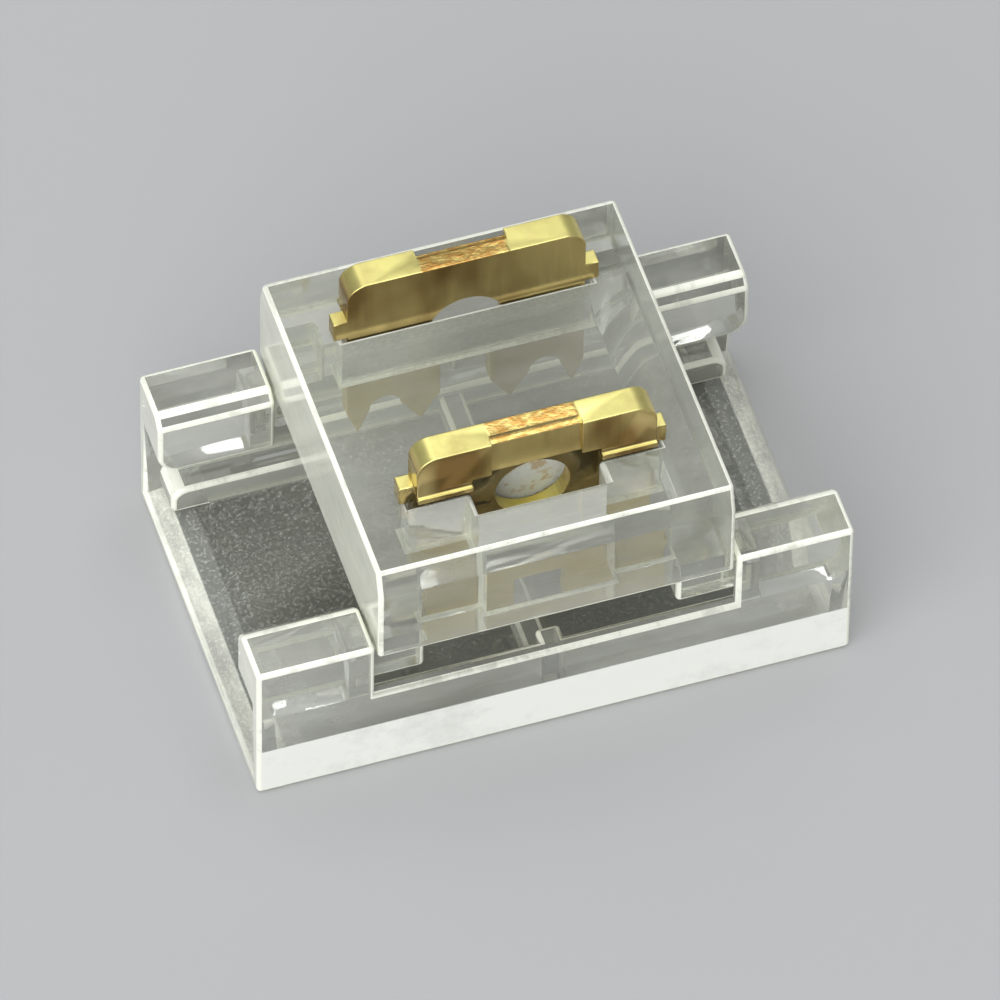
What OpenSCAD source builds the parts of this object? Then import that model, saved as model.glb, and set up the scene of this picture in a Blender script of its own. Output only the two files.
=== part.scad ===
// Solderless two-conductor connector that joins two LED strips end to end.
// A clear tray takes a strip from each end. A clear cover carries two stamped
// piercing blades, and is pressed down until their teeth bite into the strips.
// Origin: centre of the tray's underside. X runs along the strips, Z is up.

/* [LED strip] */
// Width of the strip that slides into the tray
strip_w = 10; // [8:0.5:14]
// Play between the strip and the two channel sides together
strip_play = 0.15; // [0.1:0.05:0.4]

/* [Base tray] */
// Length of the tray along the strips
base_len = 22; // [21:0.5:30]
// Thickness of the floor
floor_t = 0.9; // [0.7:0.05:1.5]
// Width of the ledge on each side of the channel
ledge_w = 1.45; // [1.2:0.05:2]
// Height of the ledges above the floor
ledge_rise = 1.2; // [0.7:0.05:1.25]
// Thickness of the thin outer wall
skin_t = 0.55; // [0.5:0.05:0.7]
// Height of the walls at both ends of the tray
wall_h = 6.7; // [6.4:0.1:8]
// Width of the lip that caps each end wall, from its outer face
lip_w = 2.4; // [2.3:0.05:2.8]
// Height of that lip
lip_h = 2.85; // [2.4:0.05:3]
// Chamfer on the inner top edge of the lips
lip_bevel = 0.45; // [0.2:0.05:0.6]
// Radius under the outer end of each lip
lip_end_r = 0.8; // [0.4:0.1:1.2]
// Height of the outer walls below the cover
sill_h = 4.05; // [3.9:0.05:4.2]
// Length of the sloped lead-in at each end of the floor
ramp_len = 2; // [1:0.1:2.4]
// Depth of that lead-in at the end face
ramp_drop = 0.4; // [0.2:0.05:0.5]
// Distance from the end face to the rounded end of each ledge
ledge_back = 0.6; // [0.3:0.1:1]
// Radius of the ledges' upper end corners
ledge_end_r = 0.6; // [0.3:0.05:0.65]
// Thickness of the stop between the two strips
stop_t = 0.9; // [0.6:0.1:1.2]
// Height of that stop above the channel floor
stop_rise = 0.85; // [0.5:0.05:1]
// Depth of the stop's two posts, from the thin outer wall
stop_post = 0.6; // [0.4:0.1:1]

/* [Top cover] */
// Length of the cover along the strips
cover_len = 13.1; // [12:0.1:14]
// Height of the cover block
cover_h = 4.5; // [4:0.1:5.5]
// How far the long top edges lean in
cover_lean = 0.33; // [0.1:0.01:0.5]
// Height of those leaning edges
cover_lean_h = 1.1; // [0.6:0.1:1.5]
// Gap between each end of the cover and the end walls
bay_gap = 0.12; // [0.08:0.01:0.2]
// How far the cover travels when it is pressed down
press_travel = 2; // [1.8:0.05:2]
// Gap that stays above the outer walls once it is pressed
seat_gap = 0.05; // [0.02:0.01:0.1]
// Length of each corner leg under the cover
leg_len = 1.9; // [1.5:0.1:2]
// Depth of each leg across the strips
leg_t = 1.2; // [1:0.05:1.3]
// How far each leg reaches down
leg_drop = 1.9; // [1.6:0.05:1.95]
// Gap between a leg and the thin outer wall
leg_gap = 0.1; // [0.08:0.01:0.15]
// How far the catch on each leg reaches under the end wall
catch_len = 0.9; // [0.5:0.05:1]
// Height of that catch
catch_h = 1.7; // [1.2:0.05:1.75]
// Gap round the catch inside the end wall
catch_gap = 0.12; // [0.1:0.01:0.2]

/* [Contact blades] */
// Width of each blade between its plain side edges
blade_w = 8.8; // [8.4:0.1:9]
// Thickness of the sheet
sheet_t = 0.62; // [0.4:0.01:0.7]
// Thickness of the two doubled wings
wing_t = 1.08; // [0.9:0.01:1.2]
// Distance from the middle of the part to the inner face of each blade
blade_y = 3.5; // [3.3:0.05:3.8]
// How far the blades stand above the cover
blade_stand = 2.7; // [2:0.1:3.5]
// Radius of the upper corners of the wings
wing_corner_r = 0.75; // [0.4:0.05:1]
// Half width of the thin stretch along the top edge
notch_half = 1.65; // [1:0.05:2]
// Height of that stretch
notch_h = 0.15; // [0.1:0.05:0.4]
// How far the strap's face stands behind the wings' faces
strap_back = 0.18; // [0.05:0.01:0.25]
// Half width of the plain sheet between the wings
web_half = 2.35; // [2:0.05:2.6]
// Height of the strap that joins the wings above the plain sheet
strap_h = 1.7; // [1:0.1:2]
// Height of the wings above their step
wing_h = 2.15; // [1.5:0.05:2.4]
// How far the wings step back below that
wing_step = 0.36; // [0.2:0.01:0.4]
// How far the foot along the wings' lower edge stands out
foot_out = 0.16; // [0.05:0.01:0.25]
// Height of that foot
foot_h = 0.24; // [0.1:0.02:0.4]
// How deep the wings sit in the cover
wing_seat = 0.9; // [0.5:0.1:1.5]
// Diameter of the hole in each blade
hole_d = 2.75; // [2:0.05:3]
// Depth of the hole's middle below the top of the cover
hole_depth = 0.75; // [0.3:0.05:1.2]
// How far the side lugs stand out
lug_w = 0.5; // [0.3:0.05:0.7]
// Height of the side lugs
lug_h = 0.85; // [0.5:0.05:1.2]
// Gap between a blade and its slot
slot_gap = 0.06; // [0.03:0.01:0.1]
// How far the blades' side barbs stand out towards the ends of the slot
barb_out = 0.14; // [0.08:0.01:0.2]
// Pitch of the side barbs
barb_pitch = 0.8; // [0.5:0.05:1]
// Number of barbs on each side edge
barb_count = 4; // [2:1:5]
// Extra depth of the slot's middle pocket
pocket_t = 1; // [0.3:0.05:1.1]
// Height of the tooth tips above the floor in the raised position
tip_lift = 2.1; // [2.05:0.05:2.5]
// Half width of the gap between the two legs of a blade
prong_gap_half = 0.93; // [0.6:0.01:1.2]
// Distance of the arch between two teeth from the middle
arch_x = 2.97; // [2.6:0.01:3.1]
// Width of that arch
arch_w = 1.15; // [0.8:0.05:1.3]
// Height of the teeth
tooth_h = 1.15; // [0.8:0.05:1.4]

/* [Hidden] */
$fn = 48;
cut = 0.01;

channel_w = strip_w + strip_play;
skin_in = channel_w / 2 + ledge_w;
base_half = skin_in + skin_t;
ledge_z = floor_t + ledge_rise;
lip_z = wall_h - lip_h;
lip_in = base_half - lip_w;
bay_half = cover_len / 2 + bay_gap;

cover_z = sill_h + seat_gap + press_travel;
cover_top = cover_z + cover_h;
leg_out = skin_in - leg_gap;
leg_in = leg_out - leg_t;
leg_z = max(cover_z - leg_drop, ledge_z + press_travel + seat_gap);
catch_in = leg_in + catch_gap;

blade_top = cover_top + blade_stand;
blade_half = blade_w / 2;
wing_step_z = blade_top - wing_h;
wing_base_z = cover_top - wing_seat;
hole_z = cover_top - hole_depth;
tip_z = floor_t + tip_lift;
tooth_z = tip_z + tooth_h;
slot_half = blade_half + barb_out + slot_gap;
slot_in = blade_y - slot_gap;
slot_out = blade_y + wing_t - wing_step + slot_gap;

// Section across the channel, extruded along X between two stations
module along_x(x0, x1)
    translate([x0, 0, 0])
        rotate([90, 0, 90])
            linear_extrude(x1 - x0)
                children();

// Section along the strips, extruded across Y between two stations
module along_y(y0, y1)
    translate([0, y1, 0])
        rotate([90, 0, 0])
            linear_extrude(y1 - y0)
                children();

// One box between two opposite corners
module block(lo, hi)
    translate(lo)
        cube(hi - lo);

// The children and their mirror image across the channel
module both_sides() {
    children();
    mirror([0, 1, 0])
        children();
}

// The children and their mirror image along the strips
module both_ends() {
    children();
    mirror([1, 0, 0])
        children();
}

// Half of the tray's section, from the middle of the channel outwards
function tray_half() = [
    [base_half, 0],
    [base_half, wall_h],
    [lip_in + lip_bevel, wall_h],
    [lip_in, wall_h - lip_bevel],
    [lip_in, lip_z],
    [skin_in, lip_z],
    [skin_in, ledge_z],
    [channel_w / 2, ledge_z],
    [channel_w / 2, floor_t]
];

module tray_section()
    polygon(concat(
        tray_half(),
        [for (i = [len(tray_half()) - 1 : -1 : 0]) [-tray_half()[i][0], tray_half()[i][1]]]
    ));

// Space above the sills that the cover drops into
module cover_bay() {
    block([-bay_half, -base_half - cut, sill_h], [bay_half, base_half + cut, wall_h + cut]);
    block([-bay_half, -skin_in, lip_z - cut], [bay_half, skin_in, wall_h]);
}

// Rounded corner under the outer end of a lip
module lip_end_cut()
    along_y(lip_in - cut, skin_in)
        difference() {
            translate([base_len / 2 - lip_end_r, lip_z - cut])
                square([lip_end_r + cut, lip_end_r + cut]);
            translate([base_len / 2 - lip_end_r, lip_z + lip_end_r])
                circle(lip_end_r);
        }

// Rounded outer end of a ledge
module ledge_end_cut()
    along_y(channel_w / 2 - cut, skin_in)
        difference() {
            translate([base_len / 2 - ledge_back - ledge_end_r, floor_t])
                square([ledge_back + ledge_end_r + cut, ledge_rise + cut]);
            translate([base_len / 2 - ledge_back - ledge_end_r - cut, floor_t - cut])
                square([ledge_end_r + cut, ledge_rise - ledge_end_r + cut]);
            translate([base_len / 2 - ledge_back - ledge_end_r, ledge_z - ledge_end_r])
                circle(ledge_end_r);
        }

// Sloped lead-in of the floor
module ramp_cut()
    along_y(-skin_in, skin_in)
        polygon([
            [base_len / 2 - ramp_len, floor_t],
            [base_len / 2 + cut, floor_t + cut],
            [base_len / 2 + cut, floor_t - ramp_drop]
        ]);

// Pocket in an end wall that the catch of a cover leg slides in
module catch_pocket()
    block(
        [bay_half - cut, leg_in - catch_gap, lip_z - cut],
        [cover_len / 2 + catch_len + catch_gap, skin_in, leg_z + catch_h + catch_gap]
    );

// Stop between the strips: a low bar and a post at each side of it
module strip_stop() {
    block([-stop_t / 2, -channel_w / 2 - cut, floor_t - cut], [stop_t / 2, channel_w / 2 + cut, floor_t + stop_rise]);
    both_sides()
        block([-stop_t / 2, skin_in - stop_post, ledge_z - cut], [stop_t / 2, skin_in + cut, sill_h]);
}

module base_tray()
    color([0.86, 0.9, 0.86, 0.6]) {
        difference() {
            along_x(-base_len / 2, base_len / 2)
                tray_section();
            cover_bay();
            both_ends() {
                ramp_cut();
                both_sides() {
                    lip_end_cut();
                    ledge_end_cut();
                    catch_pocket();
                }
            }
        }
        strip_stop();
    }

// The cover block's section, with its leaning upper edges
module cover_section()
    polygon([
        [-base_half, cover_z],
        [base_half, cover_z],
        [base_half, cover_top - cover_lean_h],
        [base_half - cover_lean, cover_top],
        [-base_half + cover_lean, cover_top],
        [-base_half, cover_top - cover_lean_h]
    ]);

// Slot for one blade, with the deeper pocket in its middle
module blade_slot() {
    block([-slot_half, slot_in, cover_z - cut], [slot_half, slot_out, cover_top + cut]);
    block([-web_half, slot_in, cover_z - cut], [web_half, slot_out + pocket_t, cover_top + cut]);
}

// Corner leg that guides the cover, with its catch
module cover_leg() {
    block([cover_len / 2 - leg_len, leg_in, leg_z], [cover_len / 2, leg_out, cover_z + cut]);
    block([cover_len / 2 - cut, catch_in, leg_z], [cover_len / 2 + catch_len, leg_out, leg_z + catch_h]);
}

module top_cover()
    color([0.8, 0.88, 0.92, 0.6]) {
        difference() {
            along_x(-cover_len / 2, cover_len / 2)
                cover_section();
            both_sides()
                blade_slot();
        }
        both_ends()
            both_sides()
                cover_leg();
    }

// Upper outline with rounded corners, from a given height up
module blade_head(z0, half)
    union() {
        translate([-half, z0])
            square([2 * half, blade_top - wing_corner_r - z0]);
        translate([-half + wing_corner_r, blade_top - wing_corner_r - cut])
            square([2 * (half - wing_corner_r), wing_corner_r + cut]);
        for (side = [-1, 1])
            translate([side * (half - wing_corner_r), blade_top - wing_corner_r])
                circle(wing_corner_r);
    }

// One pointed tooth between two stations
module tooth(x0, x1)
    polygon([[x0, tooth_z], [(x0 + x1) / 2, tip_z], [x1, tooth_z], [x1, tooth_z + cut], [x0, tooth_z + cut]]);

// One leg of a blade, with two teeth and the arch between them
module prong() {
    difference() {
        translate([prong_gap_half, tooth_z])
            square([blade_half - prong_gap_half, cover_z - tooth_z]);
        translate([arch_x, tooth_z])
            circle(arch_w / 2);
    }
    tooth(prong_gap_half, arch_x - arch_w / 2);
    tooth(arch_x + arch_w / 2, blade_half);
}

// Saw-toothed barbs that hold the blade in its slot
module side_barbs()
    for (i = [0 : barb_count - 1])
        translate([blade_half - cut, cover_z + barb_pitch * (i + 0.4)])
            polygon([[0, 0], [barb_out + cut, barb_pitch * 0.75], [0, barb_pitch * 0.75]]);

// Whole outline of the single sheet
module sheet_outline() {
    blade_head(cover_z - cut, blade_half);
    for (side = [0, 1])
        mirror([side, 0]) {
            prong();
            side_barbs();
            translate([blade_half - cut, cover_top])
                square([lug_w + cut, lug_h]);
        }
}

// Outline of the doubled part above its step
module wing_outline()
    difference() {
        blade_head(wing_step_z, blade_half);
        translate([-web_half, wing_step_z - cut])
            square([2 * web_half, wing_h - strap_h + cut]);
        translate([-notch_half, wing_step_z - cut])
            square([2 * notch_half, wing_h + 2 * cut]);
    }

module strap_outline()
    translate([-notch_half - cut, blade_top - strap_h])
        square([2 * notch_half + 2 * cut, strap_h - notch_h]);

module foot_outline()
    for (side = [0, 1])
        mirror([side, 0])
            translate([web_half, wing_step_z])
                square([blade_half - web_half, foot_h]);

// Outline of the wings' seats in the slot
module wing_seat_outline()
    for (side = [0, 1])
        mirror([side, 0])
            translate([web_half, wing_base_z])
                square([blade_half - web_half, wing_step_z - wing_base_z + cut]);

// One blade, drawn for the rear slot, with its wings on the outer side
module contact_blade()
    color([0.83, 0.69, 0.28])
        difference() {
            union() {
                along_y(blade_y, blade_y + sheet_t)
                    sheet_outline();
                along_y(blade_y + sheet_t - cut, blade_y + wing_t)
                    wing_outline();
                along_y(blade_y + sheet_t - cut, blade_y + wing_t - wing_step)
                    wing_seat_outline();
                along_y(blade_y + sheet_t - cut, blade_y + wing_t - strap_back)
                    strap_outline();
                along_y(blade_y + wing_t - cut, blade_y + wing_t + foot_out)
                    foot_outline();
            }
            translate([0, blade_y - cut, hole_z])
                rotate([-90, 0, 0])
                    cylinder(h = wing_t + 2 * cut, d = hole_d);
        }

module contact_blade_front()
    rotate([0, 0, 180])
        contact_blade();

module contact_blade_rear()
    contact_blade();

base_tray();
top_cover();
contact_blade_front();
contact_blade_rear();
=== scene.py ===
"""Looks of a clear LED strip connector with two gold-plated piercing blades.

Every length is in metres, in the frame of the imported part: X along the strips, Z up, the tray's underside at zero.
"""

from math import cos, radians, sin

import bmesh
import bpy
from bpy.props import FloatProperty, FloatVectorProperty, IntProperty, PointerProperty
from mathutils import Matrix, Vector


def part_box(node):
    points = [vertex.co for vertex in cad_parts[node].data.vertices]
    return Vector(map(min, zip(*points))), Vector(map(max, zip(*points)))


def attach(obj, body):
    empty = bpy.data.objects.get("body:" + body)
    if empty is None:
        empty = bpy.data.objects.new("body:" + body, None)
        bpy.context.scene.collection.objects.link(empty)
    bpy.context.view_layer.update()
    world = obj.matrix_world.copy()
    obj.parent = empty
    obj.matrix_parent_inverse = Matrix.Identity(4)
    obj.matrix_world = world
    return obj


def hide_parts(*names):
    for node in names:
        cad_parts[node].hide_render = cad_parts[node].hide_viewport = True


bl_info = {
    "name": "Clear strip connector",
    "version": (1, 0, 0),
    "blender": (4, 5, 0),
    "location": "3D View > Sidebar > Connector",
    "description": "Dresses a clear press-down LED strip connector and lights it on a pale floor",
    "category": "Object",
}

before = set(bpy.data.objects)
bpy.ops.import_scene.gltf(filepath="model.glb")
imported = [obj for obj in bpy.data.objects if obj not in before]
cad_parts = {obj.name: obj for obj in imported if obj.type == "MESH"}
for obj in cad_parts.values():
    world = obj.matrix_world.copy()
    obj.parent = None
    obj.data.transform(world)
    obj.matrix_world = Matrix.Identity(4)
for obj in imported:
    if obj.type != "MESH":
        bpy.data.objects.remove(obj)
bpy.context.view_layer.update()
MM = 0.001
TRAY_LOW, TRAY_HIGH = (Vector(corner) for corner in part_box("base_tray"))
TRAY_LENGTH = TRAY_HIGH.x - TRAY_LOW.x

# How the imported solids' triangles are merged, and which edges are sharp
MERGE_DISTANCE = 0.002 * MM
FLAT_ANGLE = radians(0.6)
SHARP_ANGLE = radians(28)
# Share of a narrow step that one rounded edge may take up, and how squarely a side must leave the edge to count
ROOM_SHARE = 0.42
ACROSS_SHARE = 0.5
# How narrow a rounded edge's face is, against the radius, and how far it is from facing along an axis
NARROW_SHARE = 0.8
SQUARE_ON = 0.995
# Size of a normal's part along an axis that the face is taken to face
FACING = 0.9


# Settings


class PlasticSettings(bpy.types.PropertyGroup):
    """Sizes and colours of the two clear mouldings."""

    tint: FloatVectorProperty(
        name="Tint",
        description="Colour that light keeps at each clear surface",
        subtype="COLOR",
        size=3,
        min=0,
        max=1,
        default=(0.95, 0.955, 0.89),
    )
    depth_tint: FloatVectorProperty(
        name="Depth tint",
        description="Colour that a long way through the plastic takes on",
        subtype="COLOR",
        size=3,
        min=0,
        max=1,
        default=(0.86, 0.9, 0.74),
    )
    depth_density: FloatProperty(
        name="Depth density",
        description="How fast the depth tint builds up, per metre",
        min=0,
        default=28.0,
    )
    edge_radius: FloatProperty(
        name="Edge radius",
        description="Radius of the moulded edges",
        unit="LENGTH",
        min=0,
        default=0.17 * MM,
    )
    haze: FloatProperty(
        name="Tray haze",
        description="Share of the light that fine scuffs scatter on the tray's faces",
        min=0,
        max=1,
        default=0.2,
    )
    cover_haze: FloatProperty(
        name="Cover haze",
        description="The same share on the cover's faces, which hands and tools touch",
        min=0,
        max=1,
        default=0.15,
    )
    edge_haze: FloatProperty(
        name="Edge haze",
        description="The same share on the rounded edges",
        min=0,
        max=1,
        default=0.95,
    )
    cut_haze: FloatProperty(
        name="Slot wall haze",
        description="The same share on the walls of the slots and of the bay",
        min=0,
        max=1,
        default=0.42,
    )
    end_haze: FloatProperty(
        name="End face haze",
        description="The same share on the outer end faces",
        min=0,
        max=1,
        default=0.55,
    )
    mouth_haze: FloatProperty(
        name="Mouth haze",
        description="The same share on the channel floor's outermost band, where strips rub as they go in",
        min=0,
        max=1,
        default=0.75,
    )
    pale_tint: FloatVectorProperty(
        name="Pale tint",
        description="Colour of the light that edges and end faces scatter",
        subtype="COLOR",
        size=3,
        min=0,
        max=1,
        default=(0.98, 0.985, 0.86),
    )
    rubbed_gold: FloatVectorProperty(
        name="Rubbed gold",
        description="Colour that the front blade's hole has rubbed off on the slot wall behind it",
        subtype="COLOR",
        size=3,
        min=0,
        max=1,
        default=(0.66, 0.46, 0.2),
    )
    tray_light: FloatProperty(
        name="Light through tray",
        description="Share of the lamps' light that passes each face of the tray",
        min=0,
        max=1,
        default=0.45,
    )
    cover_light: FloatProperty(
        name="Light through cover",
        description="Share of the lamps' light that passes each face of the cover",
        min=0,
        max=1,
        default=0.75,
    )
    grain_pitch: FloatProperty(
        name="Grain pitch",
        description="Size of the fine mould grain",
        unit="LENGTH",
        min=0.01 * MM,
        default=0.16 * MM,
    )
    ripple_pitch: FloatProperty(
        name="Ripple pitch",
        description="Distance between the soft flow ripples in the walls",
        unit="LENGTH",
        min=0.1 * MM,
        default=1.6 * MM,
    )


class BladeSettings(bpy.types.PropertyGroup):
    """Finish of the two contact blades."""

    gold: FloatVectorProperty(
        name="Gold",
        description="Colour of the plated faces",
        subtype="COLOR",
        size=3,
        min=0,
        max=1,
        default=(0.76, 0.59, 0.25),
    )
    brown: FloatVectorProperty(
        name="Tarnish",
        description="Colour of the plated faces where they have dulled",
        subtype="COLOR",
        size=3,
        min=0,
        max=1,
        default=(0.34, 0.21, 0.07),
    )
    # Painted highlight: pale gold that the faces looking upwards take on, in place of the light they catch from above
    top_highlight_gold: FloatVectorProperty(
        name="Pale gold",
        description="Colour of the rubbed upper edges",
        subtype="COLOR",
        size=3,
        min=0,
        max=1,
        default=(0.97, 0.87, 0.32),
    )
    torn: FloatVectorProperty(
        name="Torn edge",
        description="Colour of the strap's sheared upper edge",
        subtype="COLOR",
        size=3,
        min=0,
        max=1,
        default=(0.66, 0.36, 0.1),
    )
    # Painted shade: dark brown for the recessed plain sheet between the wings, which the wings shade
    recess_shade: FloatVectorProperty(
        name="Dull recess",
        description="Colour of the plain sheet between the wings",
        subtype="COLOR",
        size=3,
        min=0,
        max=1,
        default=(0.24, 0.17, 0.06),
    )
    # Painted shade: darker olive gold for the legs inside the cover, which the lamps reach only through the plastic
    leg_shade: FloatVectorProperty(
        name="Legs",
        description="Colour of the duller legs inside the cover",
        subtype="COLOR",
        size=3,
        min=0,
        max=1,
        default=(0.62, 0.47, 0.03),
    )
    edge_radius: FloatProperty(
        name="Edge radius",
        description="Radius of the stamped edges",
        unit="LENGTH",
        min=0,
        default=0.045 * MM,
    )
    streak_pitch: FloatProperty(
        name="Streak pitch",
        description="Distance between the upright drawing marks",
        unit="LENGTH",
        min=0.01 * MM,
        default=0.22 * MM,
    )


class StageSettings(bpy.types.PropertyGroup):
    """Floor, lamps and camera."""

    floor_colour: FloatVectorProperty(
        name="Floor colour",
        description="Colour of the plain floor",
        subtype="COLOR",
        size=3,
        min=0,
        max=1,
        default=(0.46, 0.46, 0.465),
    )
    backdrop_colour: FloatVectorProperty(
        name="Backdrop colour",
        description="Colour of the surroundings above the floor",
        subtype="COLOR",
        size=3,
        min=0,
        max=1,
        default=(0.92, 0.93, 0.95),
    )
    horizon_colour: FloatVectorProperty(
        name="Horizon colour",
        description="Colour of the surroundings near the floor",
        subtype="COLOR",
        size=3,
        min=0,
        max=1,
        default=(0.3, 0.31, 0.31),
    )
    floor_size: FloatProperty(
        name="Floor size", description="Width of the floor", unit="LENGTH", min=0.1, default=6.0
    )
    world_light: FloatProperty(
        name="Ambient light", description="Strength of the even light from all round", min=0, default=0.42
    )
    key_power: FloatProperty(
        name="Key lamp", description="Power of the lamp overhead", unit="POWER", min=0, default=1.5
    )
    fill_power: FloatProperty(
        name="Fill lamp", description="Power of the large lamp at the front left", unit="POWER", min=0, default=4.8
    )
    azimuth: FloatProperty(
        name="Camera azimuth", description="Turn of the camera round the part", subtype="ANGLE", default=radians(-18.57)
    )
    elevation: FloatProperty(
        name="Camera elevation", description="Height angle of the camera", subtype="ANGLE", default=radians(52.16)
    )
    roll: FloatProperty(
        name="Camera roll", description="Turn of the picture", subtype="ANGLE", default=radians(1.02)
    )
    distance: FloatProperty(
        name="Camera distance",
        description="Distance from the camera to the middle of the part",
        unit="LENGTH",
        min=0.05,
        default=26.28 * TRAY_LENGTH,
    )
    focal_length: FloatProperty(
        name="Focal length", description="Focal length in millimetres", min=10, default=588.4
    )
    sensor_width: FloatProperty(
        name="Sensor width", description="Sensor width in millimetres", min=1, default=36.0
    )
    bounces: IntProperty(
        name="Bounces", description="How often light may turn inside the clear plastic", min=4, default=32
    )


# Mesh helpers


def fused_mesh(node, name):
    """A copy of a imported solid's mesh with its triangles merged into whole faces."""
    mesh = bpy.data.meshes.new(name)
    bm = bmesh.new()
    bm.from_mesh(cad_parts[node].data)
    bmesh.ops.remove_doubles(bm, verts=bm.verts, dist=MERGE_DISTANCE)
    bmesh.ops.dissolve_limit(
        bm, angle_limit=FLAT_ANGLE, use_dissolve_boundaries=False, verts=bm.verts, edges=bm.edges
    )
    bmesh.ops.recalc_face_normals(bm, faces=bm.faces)
    bm.to_mesh(mesh)
    bm.free()
    return mesh


def link(name, mesh):
    """Adds an object for a mesh at the origin."""
    obj = bpy.data.objects.new(name, mesh)
    bpy.context.scene.collection.objects.link(obj)
    return obj


def baked(obj):
    """Makes the result of an object's modifiers its plain mesh."""
    graph = bpy.context.evaluated_depsgraph_get()
    graph.update()
    done = bpy.data.meshes.new_from_object(obj.evaluated_get(graph), depsgraph=graph)
    done.name = obj.data.name
    obj.modifiers.clear()
    obj.data = done
    return obj


def weigh_edges(mesh, radius):
    """Gives each sharp outer edge its share of the radius, and less of it where a narrow step leaves little room."""
    bm = bmesh.new()
    bm.from_mesh(mesh)
    layer = bm.edges.layers.float.new("bevel_weight_edge")
    for edge in bm.edges:
        if edge.calc_face_angle_signed() < SHARP_ANGLE:
            continue
        along = (edge.verts[1].co - edge.verts[0].co).normalized()
        room = radius / ROOM_SHARE
        for loop in edge.link_loops:
            for side in (loop.link_loop_prev.edge, loop.link_loop_next.edge):
                run = side.verts[1].co - side.verts[0].co
                across = run.cross(along).length
                if across > ACROSS_SHARE * run.length:
                    room = min(room, across)
        edge[layer] = room * ROOM_SHARE / radius
    bm.to_mesh(mesh)
    bm.free()


def rounded(obj, radius, segments):
    """Rounds the sharp edges and keeps the flat faces flat."""
    weigh_edges(obj.data, radius)
    obj.data.polygons.foreach_set("use_smooth", [True] * len(obj.data.polygons))
    obj.data.set_sharp_from_angle(angle=SHARP_ANGLE)
    bevel = obj.modifiers.new("edge radius", "BEVEL")
    bevel.width = radius
    bevel.segments = segments
    bevel.limit_method = "WEIGHT"
    bevel.harden_normals = True
    bevel.use_clamp_overlap = False
    return baked(obj)


def marked(mesh, name, rule):
    """Stores a share for each face, which a material reads, from a rule on the face's middle and normal."""
    layer = mesh.attributes.new(name, "FLOAT", "FACE")
    layer.data.foreach_set("value", [float(rule(face.center / MM, face.normal)) for face in mesh.polygons])


def mark_edges(mesh, radius):
    """Stores a share for each face that tells the narrow faces of rounded edges from the flat ones."""
    layer = mesh.attributes.new("edge", "FLOAT", "FACE")
    shares = []
    for face in mesh.polygons:
        points = [mesh.vertices[i].co for i in face.vertices]
        longest = max((a - b).length for a, b in zip(points, points[1:] + points[:1]))
        straight = max(abs(n) for n in face.normal)
        narrow = face.area < longest * radius * NARROW_SHARE
        shares.append(float(narrow and straight < SQUARE_ON))
    layer.data.foreach_set("value", shares)


def dressed(node, name, body, material, radius, segments, marks):
    """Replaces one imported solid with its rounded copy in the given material."""
    obj = rounded(link(name, fused_mesh(node, name)), radius, segments)
    mark_edges(obj.data, radius)
    for mark, rule in marks.items():
        marked(obj.data, mark, rule)
    obj.data.materials.append(material)
    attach(obj, body)
    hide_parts(node)


# Node helpers


def new_material(name):
    """An empty node material."""
    material = bpy.data.materials.new(name)
    material.use_nodes = True
    material.node_tree.nodes.clear()
    return material, material.node_tree


def add(tree, kind, **values):
    """Adds a node, and sets its properties and unlinked inputs by name."""
    node = tree.nodes.new(kind)
    for key, value in values.items():
        if hasattr(node, key):
            setattr(node, key, value)
        else:
            node.inputs[key.replace("_", " ")].default_value = value
    return node


def noise(tree, coords, scale, stretch=(1, 1, 1), detail=3.0, roughness=0.5):
    """Noise on object coordinates, with features 1/scale metres wide, and a stretch along each axis."""
    mapping = add(tree, "ShaderNodeMapping")
    mapping.inputs["Scale"].default_value = stretch
    tree.links.new(coords, mapping.inputs["Vector"])
    texture = add(tree, "ShaderNodeTexNoise", Scale=scale, Detail=detail, Roughness=roughness)
    tree.links.new(mapping.outputs["Vector"], texture.inputs["Vector"])
    return texture.outputs["Fac"]


def remapped(tree, value, from_low, from_high, to_low, to_high):
    """A value taken from one range to another, and kept inside it."""
    node = add(tree, "ShaderNodeMapRange", clamp=True)
    tree.links.new(value, node.inputs["Value"])
    node.inputs["From Min"].default_value = from_low
    node.inputs["From Max"].default_value = from_high
    node.inputs["To Min"].default_value = to_low
    node.inputs["To Max"].default_value = to_high
    return node.outputs["Result"]


def maths(tree, operation, first, second):
    """One maths node on two sockets or numbers."""
    node = add(tree, "ShaderNodeMath", operation=operation)
    for i, value in enumerate((first, second)):
        if isinstance(value, (int, float)):
            node.inputs[i].default_value = value
        else:
            tree.links.new(value, node.inputs[i])
    return node.outputs["Value"]


def product(tree, first, *others):
    """The product of sockets and numbers."""
    for other in others:
        first = maths(tree, "MULTIPLY", first, other)
    return first


def total(tree, first, *others):
    """The sum of sockets and numbers."""
    for other in others:
        first = maths(tree, "ADD", first, other)
    return first


def blended(tree, share, first, second):
    """A colour between two colours or sockets."""
    node = add(tree, "ShaderNodeMix", data_type="RGBA")
    tree.links.new(share, node.inputs[0])
    for socket, value in zip([s for s in node.inputs if s.type == "RGBA"], (first, second)):
        if isinstance(value, bpy.types.NodeSocket):
            tree.links.new(value, socket)
        else:
            socket.default_value = (*value, 1)
    return next(s for s in node.outputs if s.type == "RGBA")


def bump(tree, height, distance, strength, normal=None):
    """A bump node, on top of another one where a normal is given."""
    node = add(tree, "ShaderNodeBump", Distance=distance, Strength=strength)
    tree.links.new(height, node.inputs["Height"])
    if normal is not None:
        tree.links.new(normal, node.inputs["Normal"])
    return node.outputs["Normal"]


def share_of(tree, name):
    """The share that is stored on the faces under a name."""
    return add(tree, "ShaderNodeAttribute", attribute_name=name).outputs["Fac"]


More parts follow.
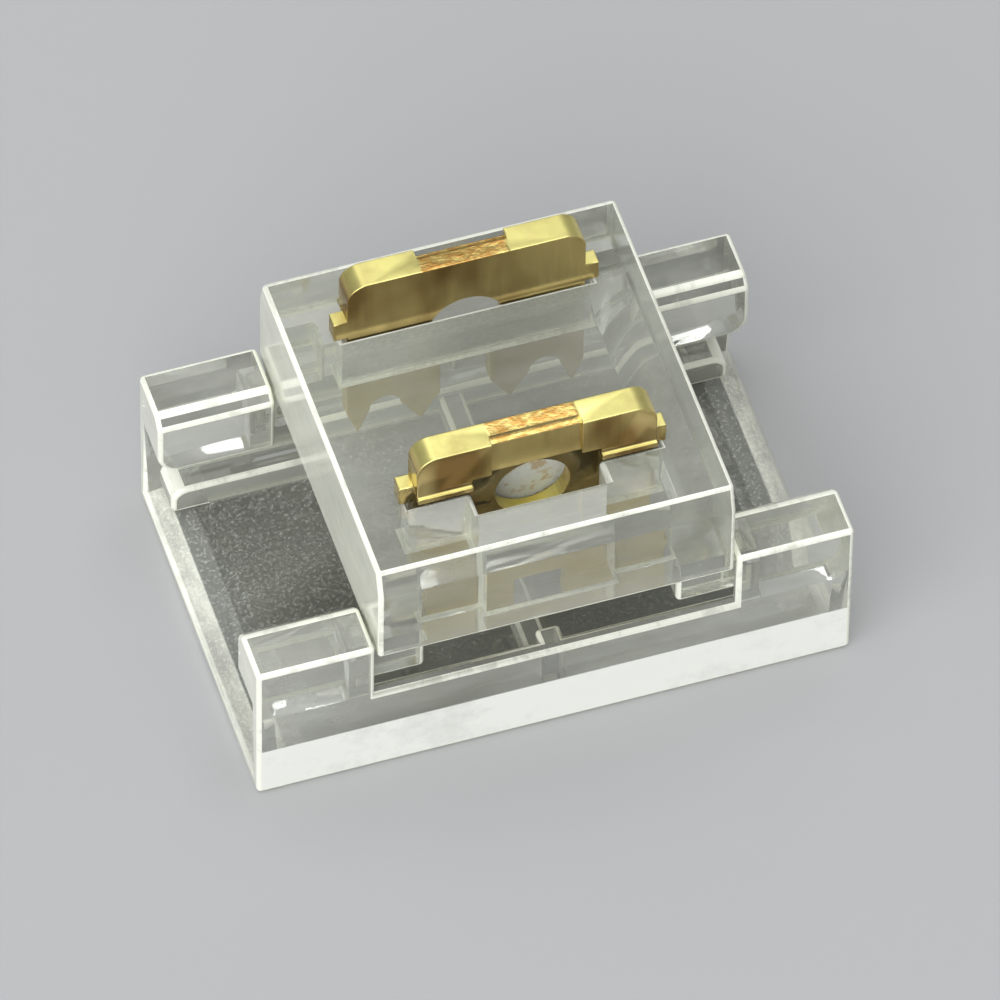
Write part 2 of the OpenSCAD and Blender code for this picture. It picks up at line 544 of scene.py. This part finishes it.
def object_axes(tree):
    """The object coordinates, whole and split by axis."""
    coords = add(tree, "ShaderNodeTexCoord").outputs["Object"]
    split = add(tree, "ShaderNodeSeparateXYZ")
    tree.links.new(coords, split.inputs[0])
    return coords, split.outputs


# Clear plastic. Each range below is (from low, from high, to low, to high) for remapped().

PLASTIC_INDEX = 1.57
SCUFF_RANGE = (0.35, 0.7, 0.6, 1.6)
FLOOR_SCUFF_RANGE = (0.0, 1.0, 1.0, 0.25)
DUST_RANGE = (0.22, 0.42, 0.0, 1.0)
DUST_HAZE = 0.24
PATCHY_RANGE = (0.35, 0.65, 0.7, 1.1)
STREAKY_RANGE = (0.38, 0.62, 0.55, 1.15)
FROST_RANGE = (0.3, 0.7, 0.85, 1.15)
SATIN_RANGE = (0.35, 0.65, 0.72, 0.9)
SATIN_HEIGHT = (2.3 * MM, 2.36 * MM, 1.0, 0.0)
SLOT_WALL_HEIGHT = (8.3 * MM, 8.9 * MM, 0.35, 1.3)
MOUTH_FROM = (10.2 * MM, 10.26 * MM, 0.0, 1.0)
BORDER_FROM = (9.5 * MM, 9.56 * MM, 0.0, 1.0)
BORDER_HAZE = 0.12
PATCH_RANGE = (0.35, 0.5, 0.3, 0.95)
RUBBED_RANGE = (0.5, 0.62, 0.0, 0.8)
PALE_RANGE = (0.1, 0.5, 0.0, 1.0)
GLOSS_RANGE = (0.45, 0.75, 0.012, 0.05)
FLOOR_DULLED, CUT_DULLED, END_DULLED = 0.12, 0.12, 0.1
PLASTIC_RELIEF = 0.02 * MM
RIPPLE_STRENGTH, GRAIN_STRENGTH = 0.35, 0.5


def plastic_noises(tree, coords, settings):
    """The patterns that haze, gloss and relief of the clear plastic share."""
    ripple, grain = settings.ripple_pitch, settings.grain_pitch
    return {
        "ripples": noise(tree, coords, 1 / ripple, stretch=(0.35, 1, 1.4), detail=2.0),
        "grain": noise(tree, coords, 1 / grain, detail=4.0, roughness=0.6),
        "scuffs": noise(tree, coords, 0.4 / ripple, stretch=(0.5, 1, 1), detail=6.0, roughness=0.65),
        "smears": noise(tree, coords, 1.2 / ripple, stretch=(1, 0.3, 1), detail=5.0, roughness=0.7),
        "dust": noise(tree, coords, 1.7 / grain, detail=1.0),
        "mottle": noise(tree, coords, 2.4 / ripple, detail=3.0, roughness=0.7),
    }


def pale_share(tree, marks, noises, ends, settings):
    """Share of the light that rounded edges, end faces, the channel's mouth and the rubbed patch scatter."""
    streaky = remapped(tree, noises["smears"], *STREAKY_RANGE)
    mouth = product(tree, marks["floor"], remapped(tree, ends, *MOUTH_FROM))
    return total(
        tree,
        product(tree, marks["end"], remapped(tree, noises["smears"], *FROST_RANGE), settings.end_haze),
        product(tree, marks["edge"], streaky, settings.edge_haze),
        product(tree, mouth, streaky, settings.mouth_haze),
        product(tree, marks["patch"], remapped(tree, noises["mottle"], *PATCH_RANGE)),
    )


def haze_share(tree, marks, noises, ends, height, pale, scuffed, settings):
    """Share of the light that the surface scatters in all, from scuffs, dust, satin bands and the pale places."""
    floor, cut, satin = marks["floor"], marks["cut"], marks["satin"]
    scuffs = remapped(tree, noises["scuffs"], *SCUFF_RANGE)
    dust = product(tree, noises["dust"], noises["grain"])
    patchy = remapped(tree, noises["grain"], *PATCHY_RANGE)
    smears = remapped(tree, noises["smears"], *SATIN_RANGE)
    return total(
        tree,
        product(tree, scuffs, scuffed, remapped(tree, floor, *FLOOR_SCUFF_RANGE)),
        pale,
        product(tree, cut, remapped(tree, height, *SLOT_WALL_HEIGHT), patchy, settings.cut_haze),
        product(tree, floor, remapped(tree, dust, *DUST_RANGE), DUST_HAZE),
        product(tree, satin, remapped(tree, height, *SATIN_HEIGHT), smears),
        product(tree, floor, remapped(tree, ends, *BORDER_FROM), BORDER_HAZE),
    )


def lamp_lit(tree, shader, tint, light_through):
    """Mixes in a see-through shader for shadow rays, so that the lamps reach what lies inside the plastic."""
    through = add(tree, "ShaderNodeBsdfTransparent")
    through.inputs["Color"].default_value = (*tint, 1)
    path = add(tree, "ShaderNodeLightPath")
    mixed = add(tree, "ShaderNodeMixShader")
    tree.links.new(product(tree, path.outputs["Is Shadow Ray"], light_through), mixed.inputs["Fac"])
    tree.links.new(shader.outputs["BSDF"], mixed.inputs[1])
    tree.links.new(through.outputs["BSDF"], mixed.inputs[2])
    return mixed.outputs["Shader"]


def clear_plastic(name, settings, scuffed, light_through):
    """Water-clear moulded plastic: soft ripples, scuffs and dust, pale rubbed edges and frosted end faces."""
    material, tree = new_material(name)
    coords, axes = object_axes(tree)
    noises = plastic_noises(tree, coords, settings)
    marks = {mark: share_of(tree, mark) for mark in ("edge", "cut", "end", "floor", "satin", "patch")}
    ends = maths(tree, "ABSOLUTE", axes["X"], 0)
    pale = pale_share(tree, marks, noises, ends, settings)
    haze = haze_share(tree, marks, noises, ends, axes["Z"], pale, scuffed, settings)
    clear = add(tree, "ShaderNodeMath", operation="SUBTRACT", use_clamp=True)
    clear.inputs[0].default_value = 1.0
    tree.links.new(haze, clear.inputs[1])
    normal = bump(tree, noises["ripples"], PLASTIC_RELIEF, RIPPLE_STRENGTH)
    cut_grain = product(tree, marks["cut"], noises["grain"])
    normal = bump(tree, cut_grain, PLASTIC_RELIEF, GRAIN_STRENGTH, normal)
    gloss = total(
        tree,
        remapped(tree, noises["grain"], *GLOSS_RANGE),
        product(tree, marks["floor"], FLOOR_DULLED),
        product(tree, marks["cut"], CUT_DULLED),
        product(tree, marks["end"], END_DULLED),
    )
    colour = blended(tree, remapped(tree, pale, *PALE_RANGE), settings.tint, settings.pale_tint)
    rubbed = product(tree, marks["patch"], remapped(tree, noises["mottle"], *RUBBED_RANGE))
    colour = blended(tree, rubbed, colour, settings.rubbed_gold)
    shader = add(tree, "ShaderNodeBsdfPrincipled", IOR=PLASTIC_INDEX)
    tree.links.new(colour, shader.inputs["Base Color"])
    tree.links.new(clear.outputs["Value"], shader.inputs["Transmission Weight"])
    tree.links.new(gloss, shader.inputs["Roughness"])
    tree.links.new(normal, shader.inputs["Normal"])
    depth = add(tree, "ShaderNodeVolumeAbsorption", Density=settings.depth_density)
    depth.inputs["Color"].default_value = (*settings.depth_tint, 1)
    out = add(tree, "ShaderNodeOutputMaterial")
    tree.links.new(lamp_lit(tree, shader, settings.tint, light_through), out.inputs["Surface"])
    tree.links.new(depth.outputs["Volume"], out.inputs["Volume"])
    return material


# Gold plate. Scales are in features per metre.

TARNISH_SCALE, CLOUD_SCALE, PIT_SCALE, TORN_SCALE = 420.0, 900.0, 9000.0, 3500.0
TARNISH_RANGE = (0.4, 0.62, 0.0, 1.0)
# Share of the painted top highlight on the upward faces, from the clouds
TOP_HIGHLIGHT_RANGE = (0.3, 0.6, 0.6, 1.0)
# Share of the painted recess shade, from the clouds
RECESS_SHADE_RANGE = (0.3, 0.6, 0.75, 1.0)
TORN_RANGE = (0.38, 0.58, 0.4, 1.0)
TORN_WIDTH = (1.72 * MM, 1.82 * MM, 1.0, 0.0)
TORN_FLOOR = 13.0 * MM
RAGGED = 0.3 * MM
# Height below which the blades take the painted leg shade and less metal
LEG_HEIGHT = (8.2 * MM, 8.9 * MM, 1.0, 0.0)
LEG_METAL = (0.0, 1.0, 1.0, 0.55)
BRUSHED_RANGE = (0.3, 0.7, 0.2, 0.26)
UPPER_DULLED = 0.12
STREAK_RELIEF, PIT_RELIEF, TORN_RELIEF = (0.006 * MM, 0.08), (0.005 * MM, 0.15), (0.05 * MM, 0.7)


def gold_plate(name, settings):
    """Gold-plated stamped sheet: faint drawing marks, a painted highlight on the upward faces, a torn strap edge, and
    painted shade on the legs inside the cover and on the recess.
    """
    material, tree = new_material(name)
    coords, axes = object_axes(tree)
    streaks = noise(tree, coords, 1 / settings.streak_pitch, stretch=(1, 1, 0.08), detail=3.0)
    tarnish = noise(tree, coords, TARNISH_SCALE, stretch=(1, 1, 0.5), detail=2.0)
    clouds = noise(tree, coords, CLOUD_SCALE, detail=4.0, roughness=0.6)
    pits = noise(tree, coords, PIT_SCALE, detail=2.0)
    torn_marks = noise(tree, coords, TORN_SCALE, stretch=(0.6, 1, 1), detail=3.0, roughness=0.7)
    upper, recess_shade = share_of(tree, "upper"), share_of(tree, "recess_shade")
    ragged = total(tree, maths(tree, "ABSOLUTE", axes["X"], 0), product(tree, clouds, RAGGED))
    on_strap = maths(tree, "GREATER_THAN", axes["Z"], TORN_FLOOR)
    torn = product(tree, remapped(tree, ragged, *TORN_WIDTH), on_strap, upper)
    # Painted shade: below the cover's top the legs take the darker olive leg colour, and less metal, for how they look
    # lit through the plastic
    low = remapped(tree, axes["Z"], *LEG_HEIGHT)
    # Painted highlight: the faces that look upwards take the pale gold, mottled by the clouds
    top_highlight = product(tree, upper, remapped(tree, clouds, *TOP_HIGHLIGHT_RANGE))
    torn_share = product(tree, torn, remapped(tree, torn_marks, *TORN_RANGE))
    # Painted shade: dark brown on the recessed sheet between the wings
    recess_shade_share = product(tree, recess_shade, remapped(tree, clouds, *RECESS_SHADE_RANGE))
    colour = blended(tree, remapped(tree, tarnish, *TARNISH_RANGE), settings.gold, settings.brown)
    colour = blended(tree, top_highlight, colour, settings.top_highlight_gold)
    colour = blended(tree, torn_share, colour, settings.torn)
    colour = blended(tree, recess_shade_share, colour, settings.recess_shade)
    colour = blended(tree, low, colour, settings.leg_shade)
    roughness = total(tree, remapped(tree, streaks, *BRUSHED_RANGE), product(tree, upper, UPPER_DULLED))
    normal = bump(tree, streaks, *STREAK_RELIEF)
    normal = bump(tree, pits, *PIT_RELIEF, normal)
    normal = bump(tree, product(tree, torn, torn_marks), *TORN_RELIEF, normal)
    shader = add(tree, "ShaderNodeBsdfPrincipled")
    tree.links.new(remapped(tree, low, *LEG_METAL), shader.inputs["Metallic"])
    tree.links.new(colour, shader.inputs["Base Color"])
    tree.links.new(roughness, shader.inputs["Roughness"])
    tree.links.new(normal, shader.inputs["Normal"])
    out = add(tree, "ShaderNodeOutputMaterial")
    tree.links.new(shader.outputs["BSDF"], out.inputs["Surface"])
    return material


# Pieces. The places in the marks are in millimetres.

TRAY_END = TRAY_HIGH.x / MM - 0.1
TRAY_WALL = TRAY_HIGH.y / MM - 0.075
CHANNEL_FLOOR = 1.0
COVER_END = 6.5
SLOT_WALLS = 3.6
SLOT_INNER_WALL = 3.3
SHEET_HALF, SHEET_FACE, SHEET_TOP = 2.36, (4.11, 4.13), 11.7
UPWARD_FROM, UPWARD_RISE = 0.25, 0.5
PLASTIC_SEGMENTS, BLADE_SEGMENTS = 3, 2

TRAY_MARKS = {
    "cut": lambda at, normal: abs(normal.x) > FACING and abs(at.x) < TRAY_END,
    "end": lambda at, normal: abs(normal.x) > FACING and abs(at.x) > TRAY_END,
    "floor": lambda at, normal: normal.z > FACING and at.z < CHANNEL_FLOOR,
    "satin": lambda at, normal: abs(normal.y) > FACING and abs(at.y) > TRAY_WALL,
}
COVER_MARKS = {
    "cut": lambda at, normal: abs(at.x) < COVER_END
    and (abs(normal.x) > FACING or (abs(normal.y) > FACING and abs(at.y) < SLOT_WALLS)),
    "end": lambda at, normal: abs(normal.x) > FACING and abs(at.x) > COVER_END,
    "patch": lambda at, normal: normal.y < -FACING and -SLOT_WALLS < at.y < -SLOT_INNER_WALL,
}
BLADE_MARKS = {
    # Faces that look upwards: they get the painted top highlight, and also bound the torn strap edge and the rougher
    # tops
    "upper": lambda at, normal: max(0.0, min(1.0, (normal.z - UPWARD_FROM) / UPWARD_RISE)),
    # Painted shade goes on the recessed plain sheet between the wings
    "recess_shade": lambda at, normal: abs(at.x) < SHEET_HALF
    and SHEET_FACE[0] < abs(at.y) < SHEET_FACE[1]
    and at.z < SHEET_TOP,
}


class CONNECTOR_OT_base_tray(bpy.types.Operator):
    """Dress the clear tray that takes the two strips"""

    bl_idname = "connector.base_tray"
    bl_label = "Base tray"

    def execute(self, context):
        settings = context.scene.connector_plastic
        material = clear_plastic("clear_tray", settings, settings.haze, settings.tray_light)
        radius = settings.edge_radius
        dressed("base_tray", "tray_moulding", "tray", material, radius, PLASTIC_SEGMENTS, TRAY_MARKS)
        return {"FINISHED"}


class CONNECTOR_OT_top_cover(bpy.types.Operator):
    """Dress the clear cover that carries the blades"""

    bl_idname = "connector.top_cover"
    bl_label = "Top cover"

    def execute(self, context):
        settings = context.scene.connector_plastic
        material = clear_plastic("clear_cover", settings, settings.cover_haze, settings.cover_light)
        radius = settings.edge_radius
        dressed("top_cover", "cover_moulding", "cover", material, radius, PLASTIC_SEGMENTS, COVER_MARKS)
        return {"FINISHED"}


class CONNECTOR_OT_contact_blades(bpy.types.Operator):
    """Dress the two gold-plated piercing blades"""

    bl_idname = "connector.contact_blades"
    bl_label = "Contact blades"

    def execute(self, context):
        settings = context.scene.connector_blades
        material = gold_plate("gold_plate", settings)
        radius = settings.edge_radius
        for place in ("front", "rear"):
            node = "contact_blade_" + place
            dressed(node, place + "_blade", "cover", material, radius, BLADE_SEGMENTS, BLADE_MARKS)
        return {"FINISHED"}


# Stage

KEY_SIZE, KEY_PLACE, KEY_COLOUR = 0.5, (0.02, 0.08, 0.57), (0.95, 0.98, 1.0)
FILL_SIZE, FILL_PLACE, FILL_COLOUR = 0.8, (-0.42, -0.42, 0.34), (0.96, 0.98, 1.0)
HORIZON_RANGE = (0.75, 1.0, 0.0, 1.0)
FLOOR_SCALE = 60.0
FLOOR_ROUGHNESS = (0.3, 0.7, 0.75, 0.9)
FLOOR_GAP = 0.02 * MM
AIM_HEIGHT, AIM_RIGHT, AIM_UP = 0.2, 0.008, -0.012
CLIP_START = 0.01


def floor_finish(settings):
    """Plain matt floor with a trace of unevenness."""
    material, tree = new_material("pale_floor")
    coords = add(tree, "ShaderNodeTexCoord").outputs["Object"]
    clouds = noise(tree, coords, FLOOR_SCALE, detail=4.0)
    shader = add(tree, "ShaderNodeBsdfPrincipled")
    shader.inputs["Base Color"].default_value = (*settings.floor_colour, 1)
    tree.links.new(remapped(tree, clouds, *FLOOR_ROUGHNESS), shader.inputs["Roughness"])
    out = add(tree, "ShaderNodeOutputMaterial")
    tree.links.new(shader.outputs["BSDF"], out.inputs["Surface"])
    return material


def area_lamp(name, power, size, place, colour):
    """A square lamp that looks at the middle of the tray's underside."""
    data = bpy.data.lights.new(name, "AREA")
    data.energy = power
    data.shape = "SQUARE"
    data.size = size
    data.color = colour
    lamp = bpy.data.objects.new(name, data)
    lamp.location = place
    lamp.rotation_euler = (-Vector(place)).to_track_quat("-Z", "Y").to_euler()
    bpy.context.scene.collection.objects.link(lamp)


def studio_world(settings):
    """Even ambient light, and a backdrop that darkens towards the floor, seen by camera, gloss and clear plastic."""
    world = bpy.data.worlds.new("studio")
    bpy.context.scene.world = world
    world.use_nodes = True
    tree = world.node_tree
    tree.nodes.clear()
    path = add(tree, "ShaderNodeLightPath")
    seen = maths(tree, "MAXIMUM", path.outputs["Is Camera Ray"], path.outputs["Is Glossy Ray"])
    seen = maths(tree, "MAXIMUM", seen, path.outputs["Is Transmission Ray"])
    ambient = add(tree, "ShaderNodeBackground", Strength=settings.world_light)
    ambient.inputs["Color"].default_value = (1, 1, 1, 1)
    height = add(tree, "ShaderNodeSeparateXYZ")
    tree.links.new(add(tree, "ShaderNodeTexCoord").outputs["Generated"], height.inputs[0])
    rise = remapped(tree, height.outputs["Z"], *HORIZON_RANGE)
    backdrop = add(tree, "ShaderNodeBackground", Strength=1.0)
    tree.links.new(blended(tree, rise, settings.horizon_colour, settings.backdrop_colour), backdrop.inputs["Color"])
    mixed = add(tree, "ShaderNodeMixShader")
    tree.links.new(seen, mixed.inputs["Fac"])
    tree.links.new(ambient.outputs["Background"], mixed.inputs[1])
    tree.links.new(backdrop.outputs["Background"], mixed.inputs[2])
    out = add(tree, "ShaderNodeOutputWorld")
    tree.links.new(mixed.outputs["Shader"], out.inputs["Surface"])


def photo_camera(settings):
    """The camera at the photograph's angle."""
    azimuth, elevation = settings.azimuth, settings.elevation
    back = Vector((sin(azimuth) * cos(elevation), -cos(azimuth) * cos(elevation), sin(elevation)))
    turned = back.to_track_quat("Z", "Y").to_matrix().to_4x4() @ Matrix.Rotation(settings.roll, 4, "Z")
    right, up = turned.col[0].xyz, turned.col[1].xyz
    aim = Vector((0, 0, AIM_HEIGHT * TRAY_LENGTH)) + (AIM_RIGHT * right + AIM_UP * up) * TRAY_LENGTH
    data = bpy.data.cameras.new("photo_camera")
    data.sensor_width = settings.sensor_width
    data.lens = settings.focal_length
    data.clip_start = CLIP_START
    camera = bpy.data.objects.new("photo_camera", data)
    camera.matrix_world = Matrix.Translation(aim + back * settings.distance) @ turned
    bpy.context.scene.collection.objects.link(camera)
    bpy.context.scene.camera = camera


class CONNECTOR_OT_stage(bpy.types.Operator):
    """Set the floor, the lamps and the camera"""

    bl_idname = "connector.stage"
    bl_label = "Stage"

    def execute(self, context):
        scene = context.scene
        settings = scene.connector_stage
        scene.view_settings.view_transform = "Standard"
        scene.cycles.max_bounces = scene.cycles.transmission_bounces = settings.bounces
        scene.cycles.glossy_bounces = settings.bounces
        scene.cycles.caustics_refractive = scene.cycles.caustics_reflective = False
        photo_camera(settings)
        half = settings.floor_size / 2
        mesh = bpy.data.meshes.new("floor")
        corners = [(x, y, -FLOOR_GAP) for x, y in ((-half, -half), (half, -half), (half, half), (-half, half))]
        mesh.from_pydata(corners, [], [(0, 1, 2, 3)])
        floor = link("floor", mesh)
        floor.data.materials.append(floor_finish(settings))
        area_lamp("key", settings.key_power, KEY_SIZE, KEY_PLACE, KEY_COLOUR)
        area_lamp("fill", settings.fill_power, FILL_SIZE, FILL_PLACE, FILL_COLOUR)
        studio_world(settings)
        return {"FINISHED"}


# Panel and registration


class CONNECTOR_PT_parts(bpy.types.Panel):
    """Lists the pieces of the connector"""

    bl_label = "Strip connector"
    bl_idname = "CONNECTOR_PT_parts"
    bl_space_type = "VIEW_3D"
    bl_region_type = "UI"
    bl_category = "Connector"

    def draw(self, context):
        layout = self.layout
        for operator in OPERATORS:
            layout.operator(operator.bl_idname)
        for group in ("connector_plastic", "connector_blades", "connector_stage"):
            box = layout.box()
            settings = getattr(context.scene, group)
            for name in settings.__annotations__:
                box.prop(settings, name)


SETTINGS = {
    "connector_plastic": PlasticSettings,
    "connector_blades": BladeSettings,
    "connector_stage": StageSettings,
}
OPERATORS = (CONNECTOR_OT_stage, CONNECTOR_OT_base_tray, CONNECTOR_OT_top_cover, CONNECTOR_OT_contact_blades)
CLASSES = (*SETTINGS.values(), *OPERATORS, CONNECTOR_PT_parts)


def register():
    """Registers the classes and hangs the settings on the scene."""
    for cls in CLASSES:
        bpy.utils.register_class(cls)
    for name, group in SETTINGS.items():
        setattr(bpy.types.Scene, name, PointerProperty(type=group))


def unregister():
    """Removes the settings and the classes."""
    for name in SETTINGS:
        delattr(bpy.types.Scene, name)
    for cls in reversed(CLASSES):
        bpy.utils.unregister_class(cls)


def main():
    """Makes the whole scene."""
    register()
    bpy.ops.connector.stage()
    bpy.ops.connector.base_tray()
    bpy.ops.connector.top_cover()
    bpy.ops.connector.contact_blades()


if __name__ == "__main__":
    main()
